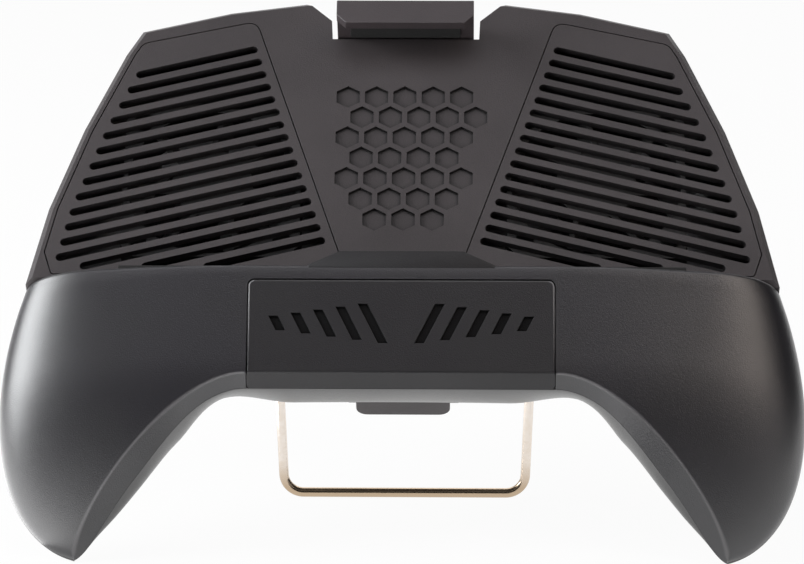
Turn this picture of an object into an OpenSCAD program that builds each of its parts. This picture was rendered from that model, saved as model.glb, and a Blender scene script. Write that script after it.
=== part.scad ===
// Phone gaming grip: two handles, a leaning phone plate with fan grilles, a sprung clamp and a wire stand.
// Every piece is drawn with the phone plate lying flat: x to the right, y up the plate, z out of it.
// The whole grip then leans back, onto its two handle tips and the wire stand.

/* [Cradle] */
// Lean of the phone plate from the table
lean = 45; // [40:1:50]
// Width of the plate at the phone ledge
ledge_w = 165.6; // [162:0.2:168]
// Width of the plate at its flanks
flank_w = 157.6; // [155:0.2:159]
// Height of the flanks above the ledge
flank_y = 20; // [18:0.5:22]
// Width of the plate at its waist
waist_w = 144; // [140:0.2:147]
// Height of the waist above the ledge
waist_y = 41.5; // [38:0.5:45]
// Width of the plate at the cheeks
cheek_w = 127; // [125:0.5:129]
// Height of the cheeks
cheek_y = 62.5; // [61:0.5:64]
// Width of the plate at its top corners
crown_w = 120; // [117:0.2:122]
// Height of the top corners
crown_y = 69; // [68:0.2:70]
// Width of the plate at the bend of its shoulders
shoulder_w = 79.8; // [76:0.2:84]
// Height of that bend
shoulder_y = 74.4; // [74:0.1:74.8]
// Distance between the two shoulder peaks
peak_w = 45.6; // [44:0.2:50]
// Height of the shoulder peaks
peak_y = 77; // [76:0.2:78]
// Thickness of the plate
deck_t = 3; // [2.6:0.1:3.4]
// Depth of the plate's skirt
skirt = 5; // [4:0.1:6]
// Bevel of the plate's rim
rim_bevel = 1.2; // [0.6:0.1:1.6]
// Rim left outside the grilles
rim_w = 2; // [1.6:0.1:3]
// Clamp notch in the top edge, width
notch_w = 33.4; // [33:0.2:36]

/* [Grilles] */
// Inner end of the grille seam at the ledge, from the middle
seam_foot = 12; // [11:0.5:14]
// Inner end of the grille seam at the top, from the middle
seam_head = 34; // [32:0.5:36]
// Grille thickness
grille_t = 1.8; // [1.4:0.1:2.2]
// Rim left above the grilles
top_rim = 3.8; // [3:0.1:5]
// Corner radius of the grilles
wing_r = 3; // [1:0.1:4]
// Gap round each grille
seam_gap = 0.25; // [0.1:0.05:0.4]
// Shelf that carries the grille
grille_shelf = 1.5; // [1:0.1:2]
// Number of slots in one grille
slot_n = 16; // [10:1:16]
// Slot width
slot_w = 2; // [1.6:0.1:2.3]
// Slot spacing up the plate
slot_pitch = 3.47; // [3.2:0.01:3.6]
// Slope of the slots
slot_angle = 15.5; // [12:0.5:18]
// Height of the topmost slot's inner end
slot_top = 63.3; // [62:0.1:65]
// Slot ends stay this far from the seam
slot_in = 3.2; // [2.8:0.1:4]
// Slot ends stay this far from the rim's outer edge
slot_out = 6; // [5:0.1:7]
// Lowest slot end above the ledge
slot_low = 4.4; // [4:0.1:6]
// Honeycomb recess across its flats
cell_w = 5.2; // [4:0.1:6]
// Spacing of the honeycomb recesses
cell_pitch = 6.4; // [6.2:0.1:7]
// Depth of recessed patterns
recess = 0.7; // [0.3:0.1:1]

/* [Front shell] */
// Height of the phone ledge above the plate
ledge_h = 7.6; // [7:0.1:8.4]
// Fall of the front band
band_angle = 16.7; // [14:0.1:19]
// Wall of the shells
wall = 2; // [1.6:0.1:2.4]
// Lower edge of the front band below the ledge
ridge_y = 23.3; // [22:0.1:25]
// Half the straight length of that edge
ridge_x = 34; // [33:0.5:36]
// Handle tip, from the middle
tip_x = 71; // [68:0.5:74]
// Handle tip, below the ledge
tip_y = 57; // [54:0.5:60]
// Droop of the handles
droop = 0.0071; // [0.005:0.0001:0.009]
// Width of the bevel under the front face
bevel_w = 2.2; // [1.6:0.1:2.6]
// Drop of that bevel
bevel_drop = 3; // [2:0.1:4]
// Parting gap between mouldings
parting = 0.15; // [0.1:0.01:0.3]
// Front cover, half its width
cover_x = 33.4; // [31:0.1:33.6]
// Front cover, top edge below the ledge
cover_top = 3.2; // [2.6:0.1:4]
// Front cover, corner radius
cover_r = 1.5; // [1:0.1:2]
// Front cover, radius of its lower corners
cover_foot = 1.1; // [0.8:0.1:1.4]
// Phone hook, half width at its root
hook_root = 20.5; // [18:0.5:24]
// Phone hook, half width at its lip
hook_tip = 13.5; // [10:0.5:16]
// Phone hook, height over the ledge
hook_h = 3.2; // [2.4:0.1:3.6]
// Phone hook, thickness
hook_t = 1.6; // [1.2:0.1:2]

/* [Rear shell] */
// Depth of the back below the plate
back_d = 27.5; // [27:0.1:29]
// Raised back panel, width
panel_w = 62; // [58:0.5:64]
// Raised back panel, lower edge below the ledge
panel_low = 12.2; // [11:0.2:13]
// Raised back panel, upper edge below the clamp notch
panel_rest = 3.4; // [2.4:0.1:6]
// Raised back panel, step over the back
panel_step = 1; // [0.6:0.1:1.4]
// Air intake slots behind each fan
intake_n = 6; // [4:1:7]
// Case screw shank
screw_d = 2; // [1.8:0.1:2.2]
// Case screw head
screw_head = 4; // [3.6:0.1:4.4]

/* [Clamp] */
// Phone room between the pads, clamp shut
phone_room = 65; // [64:0.1:65.4]
// Travel of the clamp
clamp_travel = 22; // [18:0.5:24]
// Jaw width
jaw_w = 31; // [28:0.2:32]
// Arm thickness
arm_t = 2.6; // [2.4:0.1:3.4]
// Jaw lip below the arm
jaw_lip = 3.6; // [3:0.1:4]
// Jaw lip thickness
lip_t = 2.5; // [2:0.1:3]
// Height of the lip over the plate
lip_h = 8; // [7.6:0.1:8.6]
// Slider plate width
slider_w = 21; // [18:0.2:21]
// Slider plate thickness
slider_t = 3; // [2.6:0.1:3.2]
// Tail of the slider below the ledge
tail_y = 12.7; // [12:0.1:14]
// Thickness of the finger lip on the tail
tail_t = 2; // [1.6:0.1:2.4]
// Drop of that lip behind the slider
tail_drop = 2.7; // [2.2:0.1:2.8]
// Corner radius of that lip
tail_r = 2.5; // [1.5:0.1:2.6]
// Pad thickness
pad_t = 1; // [0.8:0.1:1.2]
// Running clearance of the slider
slide_gap = 0.3; // [0.2:0.05:0.4]

/* [Stand] */
// Wire diameter
wire_d = 2.2; // [2:0.1:2.6]
// Stand pivot above the ledge
pivot_y = 12; // [10:0.5:14]
// Stand pivot behind the back panel
pivot_d = 2.6; // [2.4:0.1:3]
// Half the stand's width at the pivot
leg_x = 29.2; // [28.5:0.1:30.5]
// Half the stand's width at the foot
foot_x = 27.5; // [26.5:0.1:28.5]
// Opening of the stand
stand_open = 48.5; // [47:0.5:56]
// Bend radius of the wire
bend_r = 4.5; // [3:0.1:6]

/* [Fans] */
// Fan frame size
fan_w = 40; // [38:0.5:40]
// Fan depth
fan_t = 10; // [9:0.1:10.4]
// Fan centre from the middle
fan_x = 43; // [42.6:0.1:43.4]
// Fan centre above the ledge
fan_y = 30; // [29.5:0.1:30.5]
// Number of blades
blade_n = 7; // [5:1:9]

/* [Electrics] */
// Battery cell diameter
cell_d = 18.4; // [17.6:0.1:18.6]
// Battery cell length
cell_l = 65; // [60:0.5:65.4]
// Power button diameter
button_d = 6; // [5:0.1:6.4]
// Power button travel
button_travel = 0.8; // [0.5:0.1:1]

/* [Hidden] */
$fn = 48;
eps = 0.01;
far = 100;
fit = 0.05;

half = ledge_w / 2;
panel_z = -back_d - panel_step;
panel_pad = 1.5;
panel_in = wall + panel_pad - back_d;
bearing_r = 1.5;

function mix(a, b, t) = a + (b - a) * t;
function bezier(p, t) = pow(1 - t, 3) * p[0] + 3 * pow(1 - t, 2) * t * p[1]
    + 3 * (1 - t) * t * t * p[2] + pow(t, 3) * p[3];
function unit(p) = p / norm(p);
function lines_meet(p, d, q, e) = p + d * ((q - p) * [e.y, -e.x]) / (d * [e.y, -e.x]);

// A convex outline, listed anticlockwise, with each edge moved inward by d
function inset(pts, d) = let(n = len(pts)) [for (i = [0 : n - 1])
    let(p = pts[(i + n - 1) % n], q = pts[i], r = pts[(i + 1) % n], e = unit(q - p), f = unit(r - q))
    lines_meet(q + d * [-e.y, e.x], e, q + d * [-f.y, f.x], f)];

// Outline of the phone plate
side_pts = [[half, parting], [flank_w / 2, flank_y], [waist_w / 2, waist_y], [cheek_w / 2, cheek_y],
    [crown_w / 2, crown_y], [shoulder_w / 2, shoulder_y], [peak_w / 2, peak_y]];
plate = concat(side_pts, [for (i = [len(side_pts) - 1 : -1 : 0]) [-side_pts[i].x, side_pts[i].y]]);
function side_x(y, d) = lookup(y, [for (p = side_pts) [p.y, p.x]]) - d;

// Front face of the band and handles: a falling plane that rounds off to the sides and droops to the tips
droop_from = 20;
crown_k = 0.0015;
function face_z(p) = ledge_h + tan(band_angle) * p.y - crown_k * pow(max(0, abs(p.x) - ridge_x), 2)
    - droop * pow(max(0, -p.y - droop_from), 2);

// Plan curves of one handle, and the same curves moved in by t for the inside of the wall
tip_fill = 4;
flat_share = 0.45;
ridge_pull = 22.9;
tip_pull = [0.66, 8.5];
side_pull = [6.8, 15];
side_belly = [11.2, 11];
function tip(t) = [tip_x, -tip_y] + t * tip_fill * [0.45, 0.9];
function ridge_pt(m, t) = m <= flat_share ? [ridge_x * m / flat_share, t - ridge_y]
    : bezier([[ridge_x, t - ridge_y], [tip_x - ridge_pull + 0.4 * t, t - ridge_y],
        [tip_x - tip_pull.x, tip_pull.y - tip_y] + 0.7 * t * [1, 1], tip(t)],
        (m - flat_share) / (1 - flat_share));
function side_pt(b, t, y0) = bezier([[half - t, y0], [half + side_pull.x - t, y0 - side_pull.y],
    [half + side_belly.x - t, side_belly.y - tip_y], tip(t)], b);

// The front face meets the rear half along the parting line: its drop below the face
shoulder_drop = face_z([half, 0]) + skirt;
tip_drop = 3;
handle_bulge = 5;
function edge_drop(b) = mix(shoulder_drop, tip_drop, b) + 4 * b * (1 - b) * handle_bulge;
function shoulder(m, b) = let(start = mix(0.8, 0.55, b), s = max(0, (m - start) / (1 - start)))
    1 - pow(1 - pow(s, 2.5), 0.4);
function side_z(b) = face_z(side_pt(b, 0, 0)) - edge_drop(b);

// Bevel from the face's lower edge to the parting line, wider along the handles and gone at the tips
bevel_grow = 1;
bevel_span = [0.54, 0.76];
function rise(m, from, to) = let(u = min(1, max(0, (m - from) / (to - from)))) u * u * (3 - 2 * u);
function bevel_reach(m) = bevel_w * (1 - pow(m, 12))
    * (1 + bevel_grow * rise(m, bevel_span[0], bevel_span[1]));
function fade(m) = 1 - pow(m, 24);
function ridge_out(m, t) = let(d = unit(ridge_pt(min(1, m + 0.01), t) - ridge_pt(m - 0.01, t))) [d.y, -d.x];
function rim_pt(m, t) = ridge_pt(m, t) + bevel_reach(m) * ridge_out(m, t);
function rim_z(m) = face_z(ridge_pt(m, 0)) - tip_drop * shoulder(m, 1) - bevel_drop * fade(m);

// Behind the parting line the rear half swells out along the handles and draws in under the arch
belly = 4.5;
belly_grow = 5.5;
belly_span = 0.5;
arch_in = 2.4;
function belly_out(m) = (1 - pow(m, 14)) * ((belly + arch_in) * rise(m, 0.49, 0.634)
    - arch_in * rise(m, 0.3, 0.46) + belly_grow * rise(m, 0.58, 0.87));
function belly_pt(m, b, t) = rim_pt(m, t)
    + belly_out(m) * sin(180 * pow(min(1, (1 - b) / belly_span), 0.9)) * ridge_out(m, t);

// Handle tips are blunted along their axis
tip_blunt = 0.7;
tip_axis = unit([0.35, -0.937]);
tip_zone = 12;
function blunt(p) = let(s = (p - tip(0)) * tip_axis)
    p - (sqrt(s * s + tip_blunt * tip_blunt) + s) * exp(-pow(s / tip_zone, 2)) * tip_axis;

// Plan position between the ledge line, the side curve and a lower curve
function plan(m, b, t, y0, low) = blunt(mix([m * (half - t), y0], low, b)
    + m * m * (side_pt(b, t, y0) - mix([half - t, y0], tip(t), b)));

// Stations across and down the shells
notch_x = notch_w / 2;
notch_y = phone_room + 2 * pad_t - 2 * slide_gap;
panel_top = notch_y - panel_rest;
notch_slope = [0.2, 5.5];
notch_out = notch_x + notch_slope.x;
station_n = 12;
share = 1 / crown_w * 2;
stations = concat([0, 0.16, notch_x * share, notch_out * share, peak_w / 2 * share, flat_share],
    [for (i = [1 : station_n]) 1 - (1 - flat_share) * pow(1 - i / station_n, 1.6)]);
columns = concat([for (i = [len(stations) - 1 : -1 : 1]) [-1, stations[i]]], [for (m = stations) [1, m]]);
row_n = 10;
rows = [for (i = [0 : row_n]) sin(90 * i / row_n)];
upper_n = 6;
upper_rows = [for (i = [0 : upper_n - 1]) pow(i / upper_n, 1.7)];

function at(s, p, z) = [s * p.x, p.y, z];

// Front shell grid: foot of the ledge wall, ledge edge to ridge, then the bevel
foot_half = half - 2.5;
function front_row(b, t) = [for (c = columns) let(p = plan(c[1], b, t, -t, ridge_pt(c[1], t)))
    at(c[0], p, face_z(p) - t - (edge_drop(b) - t) * shoulder(c[1], b))];
function front_grid(t) = concat(
    [[for (c = columns) at(c[0], [c[1] * foot_half, -t], -skirt)]],
    [for (b = rows) front_row(b, t)],
    [[for (c = columns) at(c[0], blunt(rim_pt(c[1], t)), rim_z(c[1]))]]);

// Rear shell grid: top edge with the clamp notch, flat back, rounded handles
box_power = 7;
handle_power = 3;
top_power = 6;
round_power = 1.6;
function top_pt(m, t) = let(keys = [0, notch_x * share, notch_out * share, peak_w / 2 * share,
        shoulder_w / 2 * share, 1],
    xs = [0, notch_x + t, notch_out + t, peak_w / 2 + t, shoulder_w / 2, crown_w / 2 - t],
    ys = [notch_y, notch_y, peak_y - notch_slope.y, peak_y, shoulder_y, crown_y])
    [lookup(m, [for (i = [0 : 5]) [keys[i], xs[i]]]), lookup(m, [for (i = [0 : 5]) [keys[i], ys[i]]]) - t];
function swell(m, n) = pow(1 - pow(m, n), 1 / n);
function upper_row(u, t) = [for (c = columns) let(m = c[1], top = top_pt(m, t), edge = -skirt - parting,
    x = mix(top.x, m * (half - t), u)
        + m * m * (side_x(mix(crown_y, parting, u), t) - mix(crown_w / 2, half, u) + t))
    at(c[0], [x, mix(top.y, 0, u)],
        edge + (t - back_d - edge) * swell(m, box_power) * swell(1 - u, top_power))];
function lower_row(b, t) = [for (c = columns) let(m = c[1], p = plan(m, b, t, 0, belly_pt(m, b, t)),
    edge = side_z(b) + (rim_z(m) - rim_z(1)) * b - parting)
    at(c[0], p, edge
        + (t - back_d - edge) * swell(m, mix(box_power, handle_power, b)) * swell(b, round_power))];
function middle_z(y) = let(b = y / (rim_pt(0.1, 0).y),
    edge = side_z(b) + (rim_z(0) - rim_z(1)) * b - parting)
    edge - (back_d + edge) * swell(b, round_power);
function rear_grid(t) = concat([for (u = upper_rows) upper_row(u, t)], [for (b = rows) lower_row(b, t)]);

// Closed solid between an outer and an inner grid of the same size
module thick_sheet(outer, inner) {
    nr = len(outer);
    nc = len(outer[0]);
    n = nr * nc;
    function id(r, c) = r * nc + c;
    function quad(a, b, c, d) = [[a, b, c], [a, c, d]];
    skins = [for (r = [0 : nr - 2], c = [0 : nc - 2]) each concat(
        quad(id(r, c), id(r, c + 1), id(r + 1, c + 1), id(r + 1, c)),
        quad(n + id(r, c), n + id(r + 1, c), n + id(r + 1, c + 1), n + id(r, c + 1)))];
    ends = [for (c = [0 : nc - 2]) each concat(
        quad(id(0, c + 1), id(0, c), n + id(0, c), n + id(0, c + 1)),
        quad(id(nr - 1, c), id(nr - 1, c + 1), n + id(nr - 1, c + 1), n + id(nr - 1, c)))];
    sides = [for (r = [0 : nr - 2]) each concat(
        quad(id(r, 0), id(r + 1, 0), n + id(r + 1, 0), n + id(r, 0)),
        quad(id(r + 1, nc - 1), id(r, nc - 1), n + id(r, nc - 1), n + id(r + 1, nc - 1)))];
    polyhedron([for (g = [outer, inner], row = g) each row], concat(skins, ends, sides));
}

front_outer = front_grid(0);
rear_outer = rear_grid(0);

// Places shared by several pieces
jaw_y = phone_room + 2 * pad_t;
jaw_top = jaw_y + arm_t;
slider_z = panel_z - slide_gap;
spine_wall = 1.6;
spring_room = 3.6;
spine_z = slider_z - slider_t - spring_room - spine_wall;
spine_x = slider_w / 2 + slide_gap + spine_wall;
spine_low = 8;
spine_top = notch_y - 2.4;
pivot_z = panel_z - pivot_d;

// World height and depth of a point of the flat drawing, once the grip leans back
function height(p) = p.y * sin(lean) + p.z * cos(lean);
function depth(p) = p.y * cos(lean) - p.z * sin(lean);
floor_h = min([for (g = [front_outer, rear_outer], row = g, p = row) height(p)]);
front_d = min([for (g = [front_outer, rear_outer], row = g, p = row) depth(p)]);
back_most = max(depth([0, jaw_top, slider_z - slider_t]), depth([0, spine_top, spine_z]));

// The wire leg reaches the table at the chosen opening
pivot_h = height([0, pivot_y, pivot_z]);
leg_l = (pivot_h - floor_h - wire_d / 2) / sin(lean + stand_open);

module standing() {
    translate([0, -(front_d + back_most) / 2, -floor_h]) rotate([lean, 0, 0]) children();
}
module both_sides() {
    children();
    mirror([1, 0, 0]) children();
}
module slot_bar(l, w) {
    translate([0, -w / 2]) square([l, w]);
    for (x = [0, l]) translate([x, 0]) circle(d = w, $fn = 20);
}
module box(x, y, z) {
    translate([x[0], y[0], z[0]]) cube([x[1] - x[0], y[1] - y[0], z[1] - z[0]]);
}
module post(x, y, z0, z1, d) {
    translate([x, y, z0]) cylinder(d = d, h = z1 - z0);
}

// Grille outline on the right side, from the seam and the plate's rim
rim_pts = inset(plate, rim_w);
top_pts = inset(plate, top_rim);
foot_y = rim_pts[0].y;
corner_cut = 6;
seam_top = lines_meet(top_pts[5], top_pts[6] - top_pts[5], [seam_head, 0], [0, 1]);
function eased(pts, radii) = let(n = len(pts)) [for (i = [0 : n - 1])
    let(c = pts[i], d = unit(pts[(i + n - 1) % n] - c), e = unit(pts[(i + 1) % n] - c),
        cut = radii[i] / tan(acos(d * e) / 2))
    each [for (u = [0 : 0.25 : 1]) c + cut * (pow(1 - u, 2) * d + u * u * e)]];
wing_pts = [[seam_foot, foot_y], [rim_pts[0].x - corner_cut / 2, foot_y],
    mix(rim_pts[0], rim_pts[1], corner_cut / norm(rim_pts[1] - rim_pts[0])), rim_pts[1], rim_pts[2],
    rim_pts[3], lines_meet(rim_pts[3], rim_pts[4] - rim_pts[3], top_pts[4], top_pts[5] - top_pts[4]),
    seam_top];
foot_r = 1;
least_r = 0.3;
function wing(d) = eased(inset(wing_pts, d),
    [for (i = [0 : 7]) max(least_r, (i < 6 ? foot_r : wing_r) - d)]);
// Slot k starts beside the seam and ends beside the rim, or above the ledge
seam_slope = (seam_top.x - seam_foot) / (seam_top.y - foot_y);
function slot_start(k) = let(y = slot_top - k * slot_pitch)
    [seam_foot + seam_slope * (y - foot_y) + slot_in, y];
function slot_reach(s, x, n) = n == 0 ? x
    : slot_reach(s, side_x(s.y - (x - s.x) * tan(slot_angle), slot_out), n - 1);
function slot_end(s) = min(slot_reach(s, waist_w / 2, 4), s.x + (s.y - slot_low) / tan(slot_angle));

module grille() {
    translate([0, 0, -grille_t]) linear_extrude(grille_t) difference() {
        polygon(wing(seam_gap));
        for (k = [0 : slot_n - 1]) {
            s = slot_start(k);
            translate(s) rotate(-slot_angle) slot_bar((slot_end(s) - s.x) / cos(slot_angle), slot_w);
        }
    }
}
module right_grille() {
    color("dimgray") standing() grille();
}
module left_grille() {
    color("dimgray") standing() mirror([1, 0, 0]) grille();
}

// Case screws: pillars of the rear shell meet bosses of the plate and of the front shell
boss_d = 6.4;
boss_join = -12;
head_seat = -20;
plate_boss = [25, 60];
handle_boss = [56, -12];
module boss(p, top) {
    difference() {
        post(p.x, p.y, boss_join + parting, top, boss_d);
        post(p.x, p.y, boss_join, top - 2, screw_d + fit);
    }
}

// Phone plate: bevelled rim, skirt, centre panel with honeycomb recesses, windows for the grilles
comb_low = 17;
module honeycomb() {
    for (r = [0 : 6], c = [-2 : 2]) {
        y = comb_low + r * cell_pitch * sin(60);
        x = (c + (r % 2) / 2) * cell_pitch;
        if (abs(x) < seam_foot + seam_slope * (y - foot_y) - cell_w - 2)
            translate([x, y]) rotate(30) circle(d = cell_w / cos(30), $fn = 6);
    }
}
module cradle_frame() {
    color("#3a3836") standing() {
        difference() {
            hull() {
                translate([0, 0, -skirt]) linear_extrude(skirt - rim_bevel) polygon(plate);
                translate([0, 0, -skirt]) linear_extrude(skirt) polygon(inset(plate, rim_bevel));
            }
            translate([0, 0, -skirt - eps]) linear_extrude(skirt - deck_t + eps) difference() {
                polygon(inset(plate, wall));
                translate([-notch_x - wall, notch_y - wall]) square([notch_w + 2 * wall, far]);
            }
            both_sides() {
                translate([0, 0, -grille_t]) linear_extrude(far) polygon(wing(0));
                translate([0, 0, -far]) linear_extrude(far) polygon(wing(grille_shelf));
            }
            translate([0, 0, -far]) linear_extrude(2 * far) polygon([[-notch_x, notch_y], [notch_x, notch_y],
                [notch_out, peak_y - notch_slope.y], [peak_w / 2, peak_y + eps], [peak_w / 2, far],
                [-peak_w / 2, far], [-peak_w / 2, peak_y + eps], [-notch_out, peak_y - notch_slope.y]]);
            translate([0, 0, -recess]) linear_extrude(far) honeycomb();
        }
        both_sides() boss(plate_boss, eps - deck_t);
    }
}

// Front cover: an inlay bent over the band's lower edge, cut to a rounded outline
band = [-cos(band_angle), -sin(band_angle)];
ledge_pt = [0, ledge_h];
ridge_end = [-ridge_y, face_z([0, -ridge_y])];
rim_end = [-ridge_y - bevel_w, rim_z(0)];
function arc(c, r, from, to) = [for (i = [0 : 6]) let(a = mix(from, to, i / 6)) c + r * [cos(a), sin(a)]];
module cover_window(d, foot) {
    x = cover_x - cover_r;
    top = -cover_top / cos(band_angle) - cover_r;
    translate([0, 0, ledge_h]) rotate([band_angle, 0, 0]) translate([0, 0, -far / 10]) linear_extrude(far / 5)
        polygon(concat(foot, arc([x, top], cover_r + d, 0, 90), arc([-x, top], cover_r + d, 90, 180)));
}
module cover_profile() {
    n = [-sin(band_angle), cos(band_angle)];
    k = unit([rim_end.y - ridge_end.y, ridge_end.x - rim_end.x]);
    inner = ridge_end - wall * (n + k) / (1 + n * k);
    polygon([ledge_pt, ridge_end, rim_end, lines_meet(inner, rim_end - ridge_end, rim_end, [1, 0]),
        inner, ledge_pt - wall * n]);
}
bar_n = 5;
bar_w = 2;
bar_l = 8.8;
bar_step = 0.7;
bar_pitch = 5.2;
bar_slant = 0.5;
module cover_bars() {
    for (i = [0 : bar_n - 1]) both_sides()
        translate([0, 0, ledge_h]) rotate([band_angle, 0, 0])
            translate([(i + 1) * bar_pitch, -ridge_y / 2 - cover_top / 2, -recess]) linear_extrude(far)
                multmatrix([[1, bar_slant, 0, 0], [0, 1, 0, 0]]) translate([0, i * bar_step - bar_l / 2])
                    square([bar_w, bar_l - 2 * i * bar_step]);
}
module front_cover() {
    x = cover_x - cover_foot;
    low = cover_foot - (rim_end - ledge_pt) * band - parting;
    color("#2f2e2d") standing() difference() {
        intersection() {
            rotate([90, 0, 90]) translate([0, 0, -cover_x]) linear_extrude(2 * cover_x) cover_profile();
            cover_window(0,
                concat(arc([-x, low], cover_foot, 180, 270), arc([x, low], cover_foot, 270, 360)));
        }
        cover_bars();
    }
}

// Front shell: ledge wall, band and the front halves of the handles in one moulding
module hook() {
    translate([0, 0, ledge_h]) rotate([band_angle, 0, 0]) translate([0, 0, -hook_t]) linear_extrude(hook_t)
        polygon([[-hook_root, -wall / 2], [hook_root, -wall / 2], [hook_root, 0], [hook_tip, hook_h],
            [-hook_tip, hook_h], [-hook_root, 0]]);
}
module front_shell() {
    x = cover_x + parting;
    color("#343332") standing() {
        difference() {
            thick_sheet(front_outer, front_grid(wall));
            cover_window(parting, [[-x, -far], [x, -far]]);
        }
        hook();
        both_sides() boss(handle_boss, face_z(handle_boss) - wall / 2);
    }
}

// Rear shell: back, handle halves, screw pillars, fan posts, battery saddles, air intakes
fan_hole = fan_w / 2 - 4;
fan_top = -deck_t - 1.6;
fan_low = fan_top - fan_t;
cell_gap = 0.4;
cell_y = -wall - cell_gap - cell_d / 2;
cell_z = face_z([0, cell_y]) - (cell_d / 2 + wall + cell_gap) / cos(band_angle);
saddle_in = 12;
saddle_x = cell_l / 2 - saddle_in;
saddle_t = 2.4;
saddle_y = [6, 2, -2, -4];
contact_x = [cell_l / 2 + 0.1, cell_l / 2 + 0.5];
contact_w = 8;
contact_z = [-8, 4];
board_y = 50;
board_z = -19.4;
board_t = 1.6;
board_post = 10;
button_x = -19;
socket_x = 18.5;
socket_w = [8, 3];
module fan_corners() {
    for (sx = [-1, 1], sy = [-1, 1]) translate([fan_x + sx * fan_hole, fan_y + sy * fan_hole, 0]) children();
}
module saddle(x, t, r) {
    translate([x - t / 2, 0, 0]) rotate([90, 0, 90]) linear_extrude(t) difference() {
        polygon(concat([[cell_y + saddle_y[3], cell_z], [cell_y + saddle_y[0], cell_z]],
            [for (d = saddle_y) [cell_y + d, middle_z(cell_y + d) + 0.75 * wall]]));
        translate([cell_y, cell_z]) circle(r = r);
    }
}
module back_panel() {
    rotate([90, 0, 90]) translate([0, 0, -panel_w / 2]) linear_extrude(panel_w)
        polygon([[1 - panel_low, panel_z], [panel_top - 1, panel_z], [panel_top, panel_z + 1],
            [panel_top, panel_in], [0, panel_in], [-panel_low, middle_z(-panel_low) + wall + panel_pad],
            [-panel_low, panel_z + 1]]);
}
intake_x = [panel_w / 2 + 3, fan_x + fan_w / 2 - 8];
intake_w = 1.6;
intake_pitch = 5;
post_d = 6;
head_room = 0.4;
module rear_shell() {
    color("#4a4845") standing() difference() {
        union() {
            thick_sheet(rear_grid(wall), rear_outer);
            back_panel();
            both_sides() {
                post(plate_boss.x, plate_boss.y, 1 - back_d, boss_join, boss_d);
                post(handle_boss.x, handle_boss.y, 2 * wall - back_d, boss_join, boss_d);
                fan_corners() post(0, 0, 1 - back_d, fan_low, post_d);
                saddle(saddle_x, saddle_t, cell_d / 2 + fit);
                saddle(contact_x[1] + fit + saddle_t / 2, saddle_t, 0);
                post(board_post, board_y, 1 - back_d, board_z, post_d - 1);
            }
        }
        both_sides() {
            for (p = [plate_boss, handle_boss]) {
                post(p.x, p.y, -far, boss_join + eps, screw_d + head_room);
                post(p.x, p.y, -far, head_seat, screw_head + head_room);
            }
            fan_corners() post(0, 0, fan_low - 8, fan_low + eps, screw_d + fit);
            post(board_post, board_y, board_z - 5, board_z + eps, screw_d + fit);
            for (i = [0 : intake_n - 1])
                translate([intake_x[0], fan_y + (i - (intake_n - 1) / 2) * intake_pitch, -far])
                    linear_extrude(far + wall + 1 - back_d) slot_bar(intake_x[1] - intake_x[0], intake_w);
        }
        post(button_x, board_y, -far, board_z, button_d + head_room);
        translate([socket_x, board_y, board_z - far]) linear_extrude(far)
            square(socket_w + [head_room, head_room], center = true);
    }
}

// Case screws share one pattern: a round head and a plain shank
module screw(z, l) {
    translate([0, 0, z - screw_head * 0.4]) cylinder(d = screw_head, h = screw_head * 0.4);
    translate([0, 0, z - eps]) cylinder(d = screw_d, h = l);
}
module case_screws() {
    color("gray") standing() both_sides() for (p = [plate_boss, handle_boss])
        translate([p.x, p.y, 0]) screw(head_seat, boss_join - head_seat + 5);
}

// Clamp: lip, arm over the top edge, plate down the back and its finger lip in one moulding
lip_cut = 2.1;
module clamp_slider() {
    lip_z = lip_h + lip_t;
    low_z = slider_z - slider_t;
    cut_y = jaw_y - jaw_lip + lip_cut;
    color("#45423f") standing() {
        translate([0, 0, lip_h]) linear_extrude(lip_t) polygon([[-jaw_w / 2, jaw_top], [-jaw_w / 2, cut_y],
            [lip_cut - jaw_w / 2, jaw_y - jaw_lip], [jaw_w / 2 - lip_cut, jaw_y - jaw_lip],
            [jaw_w / 2, cut_y], [jaw_w / 2, jaw_top]]);
        translate([0, jaw_top, 0]) rotate([90, 0, 0]) linear_extrude(arm_t) polygon([[-jaw_w / 2, lip_z],
            [jaw_w / 2, lip_z], [jaw_w / 2, -skirt], [slider_w / 2, low_z], [-slider_w / 2, low_z],
            [-jaw_w / 2, -skirt]]);
        box([-slider_w / 2, slider_w / 2], [tail_t / 2 - tail_y, jaw_top], [low_z, slider_z]);
        translate([0, tail_t - tail_y, low_z]) rotate([90, 0, 0]) linear_extrude(tail_t) polygon(concat(
            [[slider_w / 2, slider_t], [-slider_w / 2, slider_t]],
            arc([tail_r - slider_w / 2, tail_r - tail_drop], tail_r, 180, 270),
            arc([slider_w / 2 - tail_r, tail_r - tail_drop], tail_r, 270, 360)));
    }
}
module jaw_pad() {
    color("#1c1c1c") standing() box([3 - jaw_w / 2, jaw_w / 2 - 3], [jaw_y - pad_t, jaw_y], [1, lip_h - 0.5]);
}
pad_end = 62;
module ledge_pads() {
    color("#1c1c1c") standing() both_sides() box([hook_root + 6, pad_end], [0, pad_t], [0.6, ledge_h - 2]);
}

// Spine cover: a channel over the slider, open at both ends, with screw ears
ear_y = [4, 40];
ear_w = 5;
ear_t = 2;
module spine_cover() {
    color("#403e3c") standing() difference() {
        union() {
            box([-spine_x, spine_x], [-spine_low, spine_top], [spine_z, panel_z]);
            both_sides() for (y = ear_y)
                box([spine_x - eps, spine_x + ear_w], [y - 3, y + 3], [panel_z - ear_t, panel_z]);
        }
        box([spine_wall - spine_x, spine_x - spine_wall], [-far, far], [spine_z + spine_wall, far]);
        both_sides() for (y = ear_y)
            post(spine_x + ear_w / 2, y, -far, far, screw_d + fit);
    }
}
module spine_screws() {
    color("gray") standing() both_sides() for (y = ear_y)
        translate([spine_x + ear_w / 2, y, 0]) screw(panel_z - ear_t, ear_t);
}

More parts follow.
